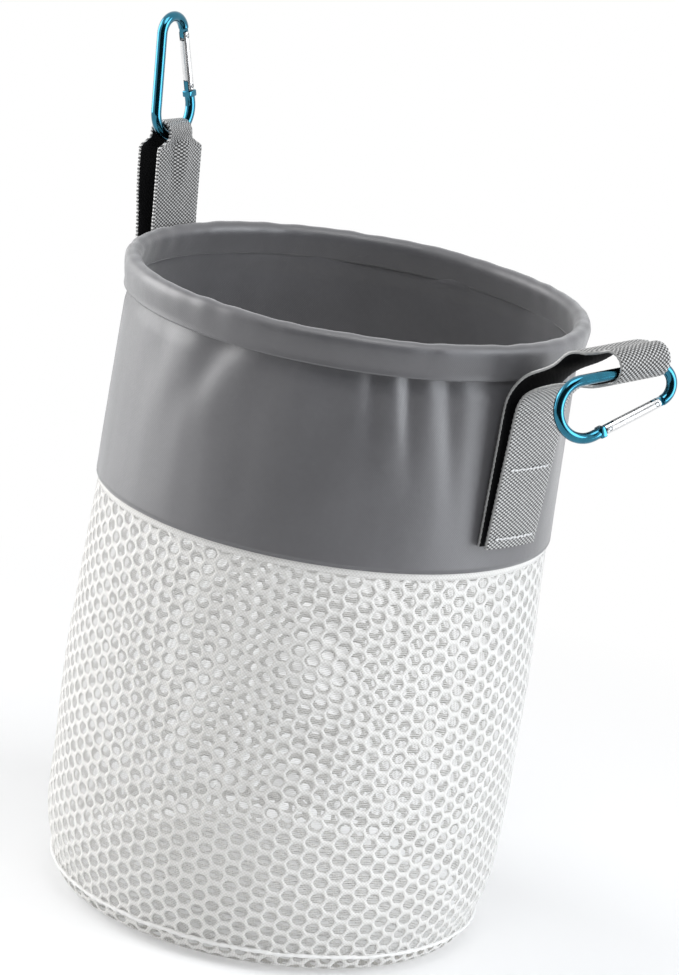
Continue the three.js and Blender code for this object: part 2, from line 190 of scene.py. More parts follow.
def faceOutward(piece):
    # turns a sheet round the bag so that its faces look away from the axis
    outward = sum(p.normal.x * p.center.x + p.normal.y * p.center.y for p in piece.data.polygons)
    if outward < 0:
        piece.data.flip_normals()


def faceUp(piece):
    # turns a folded sheet so that its highest face looks up
    topFace = max(piece.data.polygons, key=lambda p: p.center.z)
    if topFace.normal.z < 0:
        piece.data.flip_normals()


def newMaterial(name):
    material = bpy.data.materials.new(name)
    material.use_nodes = True
    tree = material.node_tree
    return material, tree, tree.nodes["Principled BSDF"]


def addNode(tree, kind, values=None, **props):
    node = tree.nodes.new(kind)
    for key, value in props.items():
        setattr(node, key, value)
    for key, value in (values or {}).items():
        node.inputs[key].default_value = value
    return node


def addMath(tree, operation, *values):
    node = tree.nodes.new("ShaderNodeMath")
    node.operation = operation
    for i, value in enumerate(values):
        if isinstance(value, (int, float)):
            node.inputs[i].default_value = value
        else:
            tree.links.new(value, node.inputs[i])
    return node.outputs[0]


def startGroup(name, inputs, outputs):
    group = bpy.data.node_groups.new(name, "ShaderNodeTree")
    for label, kind in inputs:
        group.interface.new_socket(name=label, in_out="INPUT", socket_type=kind)
    for label, kind in outputs:
        group.interface.new_socket(name=label, in_out="OUTPUT", socket_type=kind)
    return group, group.nodes.new("NodeGroupInput"), group.nodes.new("NodeGroupOutput")


def placeGroup(tree, group, vector, **values):
    node = tree.nodes.new("ShaderNodeGroup")
    node.node_tree = group
    tree.links.new(vector, node.inputs["Vector"])
    for key, value in values.items():
        node.inputs[key].default_value = value
    return node


# plain weave, over and under, with a count of threads in a metre
plainWeave, weaveIn, weaveOut = startGroup(
    "plainWeave",
    [("Vector", "NodeSocketVector"), ("Threads", "NodeSocketFloat")],
    [("Height", "NodeSocketFloat")],
)
weaveSplit = addNode(plainWeave, "ShaderNodeSeparateXYZ")
plainWeave.links.new(weaveIn.outputs["Vector"], weaveSplit.inputs[0])
weaveTurn = addMath(plainWeave, "MULTIPLY", weaveIn.outputs["Threads"], math.pi)
warp = addMath(plainWeave, "SINE", addMath(plainWeave, "MULTIPLY", weaveSplit.outputs[0], weaveTurn))
weft = addMath(plainWeave, "SINE", addMath(plainWeave, "MULTIPLY", weaveSplit.outputs[1], weaveTurn))
weaveKnots = addMath(plainWeave, "MULTIPLY", warp, weft)
weaveHeight = addMath(plainWeave, "MULTIPLY_ADD", weaveKnots, 0.5, 0.5)
plainWeave.links.new(weaveHeight, weaveOut.inputs["Height"])

# strap webbing: ribs along it, counted in a metre, crossed by short threads, and brighter at both edges
webbingLook = {"crossRatio": 1.5, "level": 0.36, "edgeWidth": 0.0012, "edgeLift": 0.18}
strapWeave, ribIn, ribOut = startGroup(
    "strapWeave",
    [("Vector", "NodeSocketVector"), ("Ribs", "NodeSocketFloat"), ("Width", "NodeSocketFloat")],
    [("Height", "NodeSocketFloat")],
)
ribSplit = addNode(strapWeave, "ShaderNodeSeparateXYZ")
strapWeave.links.new(ribIn.outputs["Vector"], ribSplit.inputs[0])
ribTurn = addMath(strapWeave, "MULTIPLY", ribIn.outputs["Ribs"], math.pi)
ribWave = addMath(strapWeave, "SINE", addMath(strapWeave, "MULTIPLY", ribSplit.outputs[1], ribTurn))
ribAlong = addMath(strapWeave, "MULTIPLY", ribSplit.outputs[0], ribTurn)
ribStep = addMath(strapWeave, "MULTIPLY", ribAlong, webbingLook["crossRatio"])
ribKnots = addMath(strapWeave, "MULTIPLY", ribWave, addMath(strapWeave, "SINE", ribStep))
ribHalf = addMath(strapWeave, "MULTIPLY", ribIn.outputs["Width"], 0.5)
ribOff = addMath(strapWeave, "ABSOLUTE", addMath(strapWeave, "SUBTRACT", ribSplit.outputs[1], ribHalf))
ribInside = addMath(strapWeave, "SUBTRACT", ribOff, ribHalf)
ribEdge = addMath(strapWeave, "GREATER_THAN", ribInside, -webbingLook["edgeWidth"])
ribHeight = addMath(strapWeave, "ADD", ribKnots, webbingLook["level"])
ribLift = addMath(strapWeave, "MULTIPLY", ribEdge, webbingLook["edgeLift"])
strapWeave.links.new(addMath(strapWeave, "ADD", ribHeight, ribLift), ribOut.inputs["Height"])

# mottling at two sizes, for colour and gloss that are never quite even
mottleLook = {"fineRatio": 9.0, "fineShare": 0.6, "low": 0.3, "high": 0.7}
softMottle, mottleIn, mottleOut = startGroup(
    "softMottle",
    [("Vector", "NodeSocketVector"), ("Scale", "NodeSocketFloat")],
    [("Value", "NodeSocketFloat")],
)
coarse = addNode(softMottle, "ShaderNodeTexNoise", {"Detail": 3.0, "Roughness": 0.55})
fine = addNode(softMottle, "ShaderNodeTexNoise", {"Detail": 4.0, "Roughness": 0.6})
fineScale = addMath(softMottle, "MULTIPLY", mottleIn.outputs["Scale"], mottleLook["fineRatio"])
for source, target in (
    (mottleIn.outputs["Vector"], coarse.inputs["Vector"]),
    (mottleIn.outputs["Vector"], fine.inputs["Vector"]),
    (mottleIn.outputs["Scale"], coarse.inputs["Scale"]),
    (fineScale, fine.inputs["Scale"]),
):
    softMottle.links.new(source, target)
finePart = addMath(softMottle, "MULTIPLY", fine.outputs[0], mottleLook["fineShare"])
mottleSum = addMath(softMottle, "ADD", coarse.outputs[0], finePart)
mottleEven = addMath(softMottle, "MULTIPLY", mottleSum, 1 / (1 + mottleLook["fineShare"]))
softMottle.links.new(mottleEven, mottleOut.inputs["Value"])


def spread(tree, value, low, high):
    # the mottle's middle range, spread between two values
    node = addNode(tree, "ShaderNodeMapRange", {
        "From Min": mottleLook["low"], "From Max": mottleLook["high"], "To Min": low, "To Max": high,
    })
    tree.links.new(value, node.inputs["Value"])
    return node.outputs[0]


def tint(tree, value, dark, light):
    ramp = addNode(tree, "ShaderNodeValToRGB")
    first, second = ramp.color_ramp.elements
    first.position = mottleLook["low"]
    first.color = (*dark, 1)
    second.position = mottleLook["high"]
    second.color = (*light, 1)
    tree.links.new(value, ramp.inputs[0])
    return ramp.outputs[0]


def addBump(tree, shader, height, strength, distance, under=None):
    bump = addNode(tree, "ShaderNodeBump", {"Strength": strength, "Distance": distance})
    tree.links.new(height, bump.inputs["Height"])
    if under:
        tree.links.new(under, bump.inputs["Normal"])
    tree.links.new(bump.outputs[0], shader.inputs["Normal"])
    return bump.outputs[0]


clothLook = {
    "mottleScale": 38.0, "roughSpread": 0.07, "softStrength": 0.25, "softDepth": 0.0006,
    "weaveStrength": 0.5, "sheenRough": 0.4,
}


def clothMaterial(
    name, dark, light, rough, sheen, weaveGroup, weaveValues, weaveDepth,
    onUv=True, weaveTint=0.0, gloss=0.35,
):
    # weaveTint is the share of the colour's change that follows the weave and not the mottle
    material, tree, shader = newMaterial(name)
    place = addNode(tree, "ShaderNodeTexCoord").outputs["Object"]
    pattern = addNode(tree, "ShaderNodeUVMap", uv_map="clothUv").outputs[0] if onUv else place
    mottle = placeGroup(tree, softMottle, place, Scale=clothLook["mottleScale"]).outputs["Value"]
    weave = placeGroup(tree, weaveGroup, pattern, **weaveValues).outputs["Height"]
    shade = mottle
    if weaveTint:
        evenly = addMath(tree, "MULTIPLY", mottle, 1 - weaveTint)
        shade = addMath(tree, "ADD", evenly, addMath(tree, "MULTIPLY", weave, weaveTint))
    tree.links.new(tint(tree, shade, dark, light), shader.inputs["Base Color"])
    roughness = spread(tree, mottle, rough - clothLook["roughSpread"], rough + clothLook["roughSpread"])
    tree.links.new(roughness, shader.inputs["Roughness"])
    soft = addBump(tree, shader, mottle, clothLook["softStrength"], clothLook["softDepth"])
    addBump(tree, shader, weave, clothLook["weaveStrength"], weaveDepth, soft)
    shader.inputs["Sheen Weight"].default_value = sheen
    shader.inputs["Sheen Roughness"].default_value = clothLook["sheenRough"]
    shader.inputs["Specular IOR Level"].default_value = gloss
    return material


metalLook = {
    "mottleScale": 160.0, "scratchScale": 900.0, "scratchDepth": 0.00004,
    "smoother": 0.05, "rougher": 0.08, "coatRough": 0.08,
}


def metalMaterial(name, dark, light, rough, coat, brush):
    # brush is the strength of the fine scratches
    material, tree, shader = newMaterial(name)
    place = addNode(tree, "ShaderNodeTexCoord").outputs["Object"]
    mottle = placeGroup(tree, softMottle, place, Scale=metalLook["mottleScale"]).outputs["Value"]
    tree.links.new(tint(tree, mottle, dark, light), shader.inputs["Base Color"])
    roughness = spread(tree, mottle, rough - metalLook["smoother"], rough + metalLook["rougher"])
    tree.links.new(roughness, shader.inputs["Roughness"])
    scratches = placeGroup(tree, softMottle, place, Scale=metalLook["scratchScale"]).outputs["Value"]
    addBump(tree, shader, scratches, brush, metalLook["scratchDepth"])
    shader.inputs["Metallic"].default_value = 1.0
    shader.inputs["Coat Weight"].default_value = coat
    shader.inputs["Coat Roughness"].default_value = metalLook["coatRough"]
    return material


bandGrey = clothMaterial(
    "bandGrey", dark=(0.074, 0.0735, 0.079), light=(0.094, 0.093, 0.1), rough=0.42, sheen=0.6, gloss=1.0,
    weaveGroup=plainWeave, weaveValues={"Threads": 2200.0}, weaveDepth=0.00008,
)
knitWhite = clothMaterial(
    "knitWhite", dark=(0.66, 0.646, 0.618), light=(0.8, 0.79, 0.768), rough=0.8, sheen=0.1, weaveTint=0.5,
    weaveGroup=plainWeave, weaveValues={"Threads": 1250.0}, weaveDepth=0.00015,
)
threadWhite = clothMaterial(
    "threadWhite", dark=(0.78, 0.77, 0.75), light=(0.86, 0.855, 0.84), rough=0.75, sheen=0.15, onUv=False,
    weaveGroup=plainWeave, weaveValues={"Threads": 2500.0}, weaveDepth=0.00004,
)
strapGrey = clothMaterial(
    "strapGrey", dark=(0.008, 0.008, 0.008), light=(0.58, 0.58, 0.57), rough=0.3, sheen=0.1, gloss=1.0,
    weaveGroup=strapWeave, weaveValues={"Ribs": 820.0, "Width": 0.03}, weaveDepth=0.0009, weaveTint=0.85,
)
strapBlack = clothMaterial(
    "strapBlack", dark=(0.005, 0.005, 0.006), light=(0.011, 0.011, 0.012), rough=0.8, sheen=0.0, gloss=0.1,
    weaveGroup=plainWeave, weaveValues={"Threads": 900.0}, weaveDepth=0.0002,
)
stitchGrey = clothMaterial(
    "stitchGrey", dark=(0.58, 0.58, 0.58), light=(0.7, 0.7, 0.7), rough=0.6, sheen=0.2, onUv=False,
    weaveGroup=plainWeave, weaveValues={"Threads": 3000.0}, weaveDepth=0.00004,
)
anodisedBlue = metalMaterial(
    "anodisedBlue", dark=(0.011, 0.13, 0.205), light=(0.02, 0.19, 0.285), rough=0.1, coat=0.5, brush=0.05,
)
gateSilver = metalMaterial(
    "gateSilver", dark=(0.68, 0.685, 0.69), light=(0.82, 0.825, 0.83), rough=0.26, coat=0.0, brush=0.04,
)
springSteel = metalMaterial(
    "springSteel", dark=(0.4, 0.41, 0.42), light=(0.56, 0.57, 0.58), rough=0.34, coat=0.0, brush=0.25,
)
print("materials made")

# the bag's shape, in millimetres, as heights and radii, and its straps' turns in degrees
bag = {
    "hem": 270.0,
    "bandFoot": 185.0,
    "bandTopRadius": 98.6,
    "bandFootRadius": 100.4,
    "wallProfile": [
        (9.0, 95.5), (11.8, 95.6), (17.0, 97.2), (23.0, 99.1), (31.2, 100.4), (40.0, 101.0),
        (52.0, 101.3), (84.6, 101.5), (108.0, 101.4), (132.0, 100.95), (158.0, 100.2),
        (185.0, 99.1), (197.0, 98.85),
    ],
    "sheetTurn": 100.0,
    "strapTurns": {"left": 185.5, "right": 0.0},
    "tabEase": (9, 16),
}
wholeTurn = 2 * math.pi * bag["sheetTurn"] * mm


def bandRadius(z):
    share = (z - bag["bandFoot"]) / (bag["hem"] - bag["bandFoot"])
    return mixed(bag["bandFootRadius"], bag["bandTopRadius"], share)


def nearStrap(angle):
    # 1 behind a strap's tab and 0 well away from it
    turns = bag["strapTurns"].values()
    off = min(abs(math.remainder(angle - math.radians(turn), 2 * math.pi)) for turn in turns)
    return 1 - smoothStep(math.degrees(off), *bag["tabEase"])


# slack in the mesh: the heights between which it starts and dies out, and its waves
slack = {"foot": (14, 50), "top": (152, 181), "waves": ((1.4, 1.6, 70, 1), (0.5, 5.0, 35, 2))}


def wallSwell(angle, z):
    hold = smoothStep(z, *slack["foot"]) * (1 - smoothStep(z, *slack["top"]))
    return hold * ringWaves(slack["waves"], angle, z)


def wallRadius(angle, z):
    return radiusFrom(bag["wallProfile"], z) + wallSwell(angle, z)


band = {
    "acrossSteps": 320,
    "upSteps": 44,
    "top": 276.0,
    "thickness": 0.6,
    "recess": 1.1,
    "recessEase": (261, 269),
    "waves": ((0.5, 3.2, 60, 3), (0.28, 9.0, 90, 4)),
    "freeEase": (185, 203),
    "footShare": 0.35,
    "tabShare": 0.3,
    "foldCut": 4,
    # main folds under the hem: angle and half width in degrees, depth and reach down in mm,
    # slant in degrees a mm
    "folds": [
        (-81, 5.0, 2.0, 26, -0.32), (-72, 6.0, -1.0, 34, -0.28), (-100, 6.0, 0.8, 45, -0.2),
        (-135, 0.9, 0.9, 120, 0.0), (-43, 2.6, 2.0, 30, 0.05), (-34, 2.4, 2.6, 34, 0.08),
        (-24, 2.8, 2.2, 42, 0.1), (-60, 6.0, -1.0, 50, 0.0), (30, 6.0, 1.6, 50, 0.06),
        (70, 8.0, 0.9, 60, 0.06), (105, 6.0, 1.0, 45, 0.06), (140, 7.0, 0.8, 55, 0.06),
        (-150, 6.0, 0.9, 50, 0.06),
    ],
}


def bandFold(angle, z):
    down = bag["hem"] - z
    total = ringWaves(band["waves"], angle, z)
    for place, width, depth, reach, slant in band["folds"]:
        off = math.degrees(math.remainder(angle - math.radians(place), 2 * math.pi)) - slant * down
        if abs(off) < band["foldCut"] * width:
            total -= depth * math.exp(-(off / width) ** 2) * math.exp(-(down / reach) ** 2)
    total *= mixed(band["footShare"], 1.0, smoothStep(z, *band["freeEase"]))
    return mixed(total, min(total, 0.0) * band["tabShare"], nearStrap(angle))


def bandSurface(angle, z):
    # the folds die out above the hem, where the band goes up into the rim
    fold = bandFold(angle, z) * (1 - smoothStep(z, bag["hem"], band["top"]))
    return bandRadius(z) + fold - band["recess"] * smoothStep(z, *band["recessEase"])


bm = bmesh.new()
flatSheet(bm, wholeTurn, (band["top"] - bag["bandFoot"]) * mm, band["acrossSteps"], band["upSteps"])
keepFlatUv(bm)
wrapSheet(bm, bag["bandFoot"], bandSurface)
bandCloth = finishPiece("bandCloth", bm, bandGrey, "bag")
faceOutward(bandCloth)
addThickness(bandCloth, band["thickness"] * mm)
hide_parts("fabric_band")
print("band made")

rim = {
    "acrossSteps": 360, "aroundSteps": 30, "girth": 37.0, "thickness": 0.5, "rollCentre": (98.0, 280.4),
    # gathers: waves in a turn, then how each is shifted, drifts and leans, and how deep and soft they are
    "gathers": (13, 29, 47), "gatherShift": 2.1, "gatherDrift": 1.4, "gatherLean": 0.9,
    "gatherDepth": 0.17, "gatherSoft": 0.6, "evenPart": 0.55, "loosePart": 0.45,
    "lift": 0.5, "liftTop": 279.0,
    # outline of the casing from its outer hem over the roll to its inner hem
    "outline": [
        (100.5, 269.2), (100.5, 271.6), (101.0, 274.6), (101.5, 278.2), (101.55, 281.0), (100.6, 283.0),
        (98.6, 283.95), (96.4, 283.6), (94.8, 282.0), (94.35, 279.6), (94.9, 276.2), (95.8, 272.4),
        (96.3, 269.9),
    ],
}


def rimGather(angle, share):
    waves = 0.0
    for k, turns in enumerate(rim["gathers"]):
        drift = rim["gatherDrift"] * ringNoise(angle, turns=2.0, height=0.0, seed=5 + k)
        waves += math.sin(turns * angle + rim["gatherShift"] * k + drift + rim["gatherLean"] * share)
    loose = rim["evenPart"] + rim["loosePart"] * ringNoise(angle, turns=2.6, height=0.0, seed=9)
    return rim["gatherDepth"] * waves * loose * max(math.sin(math.pi * share), 0.0) ** rim["gatherSoft"]


bm = bmesh.new()
flatSheet(bm, wholeTurn, rim["girth"] * mm, rim["acrossSteps"], rim["aroundSteps"])
keepFlatUv(bm)
rollMiddle = Vector(rim["rollCentre"])
for vert in bm.verts:
    angle = vert.co.x / (bag["sheetTurn"] * mm)
    share = vert.co.y / (rim["girth"] * mm)
    spot = onCurve(rim["outline"], share * (len(rim["outline"]) - 1))
    away = (spot - rollMiddle).normalized()
    spot = spot + away * rimGather(angle, share)
    lift = rim["lift"] * ringNoise(angle, turns=2.2, height=0.0, seed=12)
    height = spot.y + lift * smoothStep(spot.y, bag["hem"], rim["liftTop"])
    vert.co = Vector((spot.x * math.cos(angle), spot.x * math.sin(angle), height)) * mm
rimRoll = finishPiece("rimRoll", bm, bandGrey, "bag")
faceUp(rimRoll)
addThickness(rimRoll, rim["thickness"] * mm)
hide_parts("rim_sleeve")
print("rim made")

web = {
    "columns": 100, "columnStep": 6.2832, "rowPitch": 7.24,
    "holeRadius": 2.8, "holeStretch": 1.2, "holeCorner": 0.6,
    "wallRows": 25, "wallFoot": 9.3, "wallTop": 182.3, "thickness": 0.5, "weld": 0.00004,
}


def copyAlong(bm, count, shiftOf):
    # copies of all that is in the mesh, each moved by what shiftOf gives for its number
    first = allOf(bm)
    for k in range(1, count):
        twin = bmesh.ops.duplicate(bm, geom=first)["geom"]
        moveVerts(bm, vertsOf(twin), shiftOf(k))


def hexSheet(bm, columns, rows):
    # one rounded hexagonal hole in its hexagon, then copies of it side by side
    pitch = web["rowPitch"] * mm
    addRing(bm, 6, web["rowPitch"] / math.sqrt(3) * mm)
    hole = bmesh.ops.create_circle(bm, segments=6, radius=web["holeRadius"] * mm, cap_ends=True)
    bmesh.ops.bevel(
        bm, geom=hole["verts"], offset=web["holeCorner"] * mm, segments=1, profile=0.5,
        affect="VERTICES", material=-1,
    )
    inner = [v for v in bm.verts if v.co.length < pitch / 2]
    turnVerts(bm, bm.verts, quarterTurn, "Z")
    bmesh.ops.scale(bm, vec=(web["holeStretch"], 1, 1), verts=inner)
    bmesh.ops.delete(bm, geom=bm.faces[:], context="FACES_ONLY")
    bmesh.ops.bridge_loops(bm, edges=bm.edges[:])
    copyAlong(bm, columns, lambda k: (k * web["columnStep"] * mm, (k % 2) * pitch / 2, 0))
    copyAlong(bm, rows, lambda k: (0, k * pitch, 0))
    bmesh.ops.remove_doubles(bm, verts=bm.verts, dist=web["weld"])


def trimFlat(bm, place, normal):
    bmesh.ops.bisect_plane(bm, geom=allOf(bm), plane_co=place, plane_no=normal, clear_outer=True)


bm = bmesh.new()
hexSheet(bm, web["columns"], web["wallRows"])
wallHeight = (web["wallTop"] - web["wallFoot"]) * mm
trimFlat(bm, (0, wallHeight, 0), (0, 1, 0))
trimFlat(bm, (0, 0, 0), (0, -1, 0))
keepFlatUv(bm)
wallWebArea = sum(face.calc_area() for face in bm.faces)
wrapSheet(bm, web["wallFoot"], wallRadius)
meshWall = finishPiece("meshWall", bm, knitWhite, "bag", weld=web["weld"])
faceOutward(meshWall)
addThickness(meshWall, web["thickness"] * mm)
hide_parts("mesh_wall")
print("wall mesh made:", len(meshWall.data.polygons), "faces")

wallThread = {"first": 1.0, "pitch": 0.8, "radius": 0.17, "sides": 3, "steps": 100, "inset": 0.3}
bm = bmesh.new()
threadHeight = web["wallFoot"] + wallThread["first"]
while threadHeight < web["wallTop"]:
    threadRadius = radiusFrom(bag["wallProfile"], threadHeight) - wallThread["inset"]
    addSection(bm, wallThread["sides"], wallThread["radius"], threadRadius, threadHeight)
    threadHeight += wallThread["pitch"]
spinRound(bm, wallThread["steps"])
for vert in bm.verts:
    angle = math.atan2(vert.co.y, vert.co.x)
    flat = vert.co.xy
    flat = flat * (1 + wallSwell(angle, vert.co.z / mm) * mm / flat.length)
    vert.co = (flat.x, flat.y, vert.co.z)
wallThreads = finishPiece("wallThreads", bm, threadWhite, "bag", weld=fineWeld)
print("wall threads made:", len(wallThreads.data.polygons), "faces")

# the plain strip of mesh above the holes, which goes up behind the band
strip = {"lap": 0.4, "top": 196.5, "acrossSteps": 200, "upSteps": 8, "proud": 0.05, "thickness": 0.5}
bm = bmesh.new()
stripFoot = web["wallTop"] - strip["lap"]
flatSheet(bm, wholeTurn, (strip["top"] - stripFoot) * mm, strip["acrossSteps"], strip["upSteps"])
keepFlatUv(bm)
wrapSheet(bm, stripFoot, lambda angle, z: wallRadius(angle, z) + strip["proud"])
wallStrip = finishPiece("wallStrip", bm, knitWhite, "bag")
faceOutward(wallStrip)
addThickness(wallStrip, strip["thickness"] * mm)

base = {
    "flatRadius": 84.0, "edgeRadius": 94.2, "edgeHeight": 9.2, "turnUp": 5.0, "floor": 0.55,
    "thickness": 0.5, "curlSteps": 24, "columns": 36, "rows": 31, "lowFace": 2.0,
}


def baseCurl(count):
    # the base's edge as its length along the cloth and its (radius, height):
    # it curls up to the seam and stands inside the wall
    reach = base["edgeRadius"] - base["flatRadius"]
    rise = base["edgeHeight"] - base["floor"]
    line = [
        Vector((base["edgeRadius"] - reach * (1 - i / count) ** 2, base["floor"] + rise * (i / count) ** 2))
        for i in range(count + 1)
    ]
    line.append(line[-1] + Vector((0, base["turnUp"])))
    run = [base["flatRadius"]]
    for a, b in zip(line, line[1:]):
        run.append(run[-1] + (b - a).length)
    return list(zip(run, line))


curl = baseCurl(base["curlSteps"])


def basePlace(flat):
    # where a place in the flat cloth, given by its distance from the middle, ends up
    if flat <= base["flatRadius"]:
        return flat, base["floor"]
    for (runA, a), (runB, b) in zip(curl, curl[1:]):
        if flat <= runB:
            return a.lerp(b, (flat - runA) / (runB - runA))
    return curl[-1][1]


bm = bmesh.new()
hexSheet(bm, base["columns"], base["rows"])
middleX = (base["columns"] - 1) / 2 * web["columnStep"]
middleY = (base["rows"] - 0.5) / 2 * web["rowPitch"]
moveVerts(bm, bm.verts, Vector((-middleX, -middleY, 0)) * mm)
clothRadius = curl[-1][0]
outside = [v for v in bm.verts if v.co.length > clothRadius * mm]
bmesh.ops.delete(bm, geom=outside, context="VERTS")
keepFlatUv(bm)
baseWebArea = sum(face.calc_area() for face in bm.faces)
for vert in bm.verts:
    flat = vert.co.xy
    radius, height = basePlace(flat.length / mm)
    flat = flat * (radius * mm / max(flat.length, 1e-6))
    vert.co = (flat.x, flat.y, height * mm)
basePanel = finishPiece("basePanel", bm, knitWhite, "bag", weld=web["weld"])
lowFaces = [p.normal.z for p in basePanel.data.polygons if p.center.z < base["lowFace"] * mm]
if sum(lowFaces) > 0:
    basePanel.data.flip_normals()
addThickness(basePanel, base["thickness"] * mm)
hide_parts("mesh_base")

piping = {
    "centreRadius": 95.6, "height": 9.4, "radius": 0.85, "sides": 10, "steps": 480,
    "puckers": 124, "puckerDrift": 2.0, "puckerDepth": 0.2, "unevenness": 0.35, "sway": 0.45,
}
bm = bmesh.new()
addSection(bm, piping["sides"], piping["radius"], piping["centreRadius"], piping["height"])
spinRound(bm, piping["steps"])
for vert in bm.verts:
    angle = math.atan2(vert.co.y, vert.co.x)
    core = Vector((math.cos(angle), math.sin(angle), 0)) * piping["centreRadius"] * mm
    core.z = piping["height"] * mm
    drift = piping["puckerDrift"] * ringNoise(angle, turns=6.0, height=0.0, seed=15)
    uneven = piping["unevenness"] * ringNoise(angle, turns=11.0, height=0.0, seed=16)
    sway = piping["sway"] * ringNoise(angle, turns=9.0, height=0.0, seed=17)
    swell = 1 + piping["puckerDepth"] * math.sin(piping["puckers"] * angle + drift) + uneven
    vert.co = core + (vert.co - core) * swell + Vector((0, 0, sway)) * mm
baseBead = finishPiece("baseBead", bm, threadWhite, "bag", weld=fineWeld)
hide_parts("base_piping")
print("base made")

strap = {
    "width": 30.0, "thickness": 1.3, "half": 0.7, "layer": 1.4,
    "tabFoot": 195.5, "tabTop": 266.0, "innerFoot": 100.478, "innerTop": 101.9, "gapFoot": 2.8, "gapTop": 6.0,
    "pivotRadius": 110.7, "loopInner": -8.8, "rimReach": 18.0,
    # places along the line: on the tab, on the loop, and how finely it is cut and eased
    "footClear": 1.6, "tabStep": 5.5, "tabPlaces": 13, "loopStart": 5.0, "loopSteps": 12,
    "fineSteps": 1600, "stations": 300, "acrossSteps": 14, "sweeps": 60, "ease": 0.5, "easeEnds": (16, 30),
    # the edges' small waves, and how the flat loop leaves the round tab
    "edgeBand": 0.1, "edgeWave": 0.012, "edgePitch": 2.4, "flatten": (-2, 24),
    # distances short of the bight, and pleats as depth, place across and half width
    "gather": (6.5, 1.5), "creaseStart": (30, 10), "creaseEnd": (5, 1),
    "pleats": ((1.0, 3.0, 3.0), (-0.6, -4.0, 3.5)),
}
# each free loop: how it leans, skews, bulges and gathers, its bight, and where it bends at the hinge
straps = {
    "left": {
        "turn": math.radians(bag["strapTurns"]["left"]), "lean": math.radians(5), "skew": 0.0,
        "bightRadius": 4.5, "bulge": 0.8, "innerBulge": 0.0, "gathered": 15.0, "bightX": -2.9,
        "bightZ": 56.6, "endFace": 3.0, "crease": 2.0,
        "blend": ((-105.5, -10.2, 262), (-106.7, -10.3, 276.3)),
    },
    "right": {
        "turn": math.radians(bag["strapTurns"]["right"]), "lean": math.radians(60),
        "skew": math.radians(24), "bightRadius": 6.0, "bulge": -2.5, "innerBulge": -3.5,
        "gathered": 23.0, "bightX": -1.4, "bightZ": 47.1, "endFace": 6.0, "crease": 0.0,
        "blend": ((106, 0, 262), (117.2, 0, 274.8)),
    },
}


def tabShare(z):
    return (z - strap["tabFoot"]) / (strap["tabTop"] - strap["tabFoot"])


def tabInner(z):
    return mixed(strap["innerFoot"], strap["innerTop"], tabShare(z))


def tabOuter(z):
    return tabInner(z) + strap["layer"] + mixed(strap["gapFoot"], strap["gapTop"], tabShare(z))


def strapLine(side):
    # the middle of the webbing as (radius, height, distance past the hinge), from its foot, round and back
    lean = side["lean"]

    def swung(n, s):
        return (
            strap["pivotRadius"] + n * math.cos(lean) + s * math.sin(lean),
            strap["tabTop"] - n * math.sin(lean) + s * math.cos(lean),
            s,
        )

    def outerFace(s):
        share = s / side["bightZ"]
        return side["endFace"] * smoothStep(share, 0, 1) + side["bulge"] * math.sin(math.pi * share) ** 2

    def innerFace(s):
        share = max(s - strap["rimReach"], 0) / (side["bightZ"] - strap["rimReach"])
        return strap["loopInner"] + side["innerBulge"] * math.sin(math.pi * share) ** 2

    half = strap["half"]
    start = strap["loopStart"]
    steps = strap["loopSteps"]
    lowest = strap["tabFoot"] + strap["footClear"]
    heights = [lowest + strap["tabStep"] * i for i in range(strap["tabPlaces"])]
    reaches = [start + (side["bightZ"] - start) * i / steps for i in range(steps + 1)]
    line = [(tabInner(z) + half, z, z - strap["tabTop"]) for z in heights]
    line += [swung(innerFace(s) + half, s) for s in reaches]
    for k in range(1, steps):
        angle = math.pi * (1 - k / steps)
        reach = side["bightRadius"] + half
        line.append(swung(side["bightX"] + reach * math.cos(angle), side["bightZ"] + reach * math.sin(angle)))
    line += [swung(outerFace(s) - half, s) for s in reversed(reaches)]
    line += [(tabOuter(z) + half, z, z - strap["tabTop"]) for z in reversed(heights)]
    return line


def evenStations(line, count):
    # the same line, as evenly spaced places along it, eased where it bends at the hinge, with its length
    fineSteps = strap["fineSteps"]
    dense = [onCurve(line, (len(line) - 1) * i / fineSteps) for i in range(fineSteps + 1)]
    run = [0.0]
    for a, b in zip(dense, dense[1:]):
        run.append(run[-1] + (b.xy - a.xy).length)
    places = []
    k = 0
    for i in range(count):
        want = run[-1] * i / (count - 1)
        while k < len(run) - 2 and run[k + 1] < want:
            k += 1
        share = (want - run[k]) / max(run[k + 1] - run[k], 1e-9)
        places.append(dense[k].lerp(dense[k + 1], share))
    for _ in range(strap["sweeps"]):
        before = places[:]
        for i in range(1, count - 1):
            ease = strap["ease"] * (1 - smoothStep(abs(before[i].z), *strap["easeEnds"]))
            places[i] = before[i].lerp((before[i - 1] + before[i + 1]) / 2, ease)
    return places, run[-1]


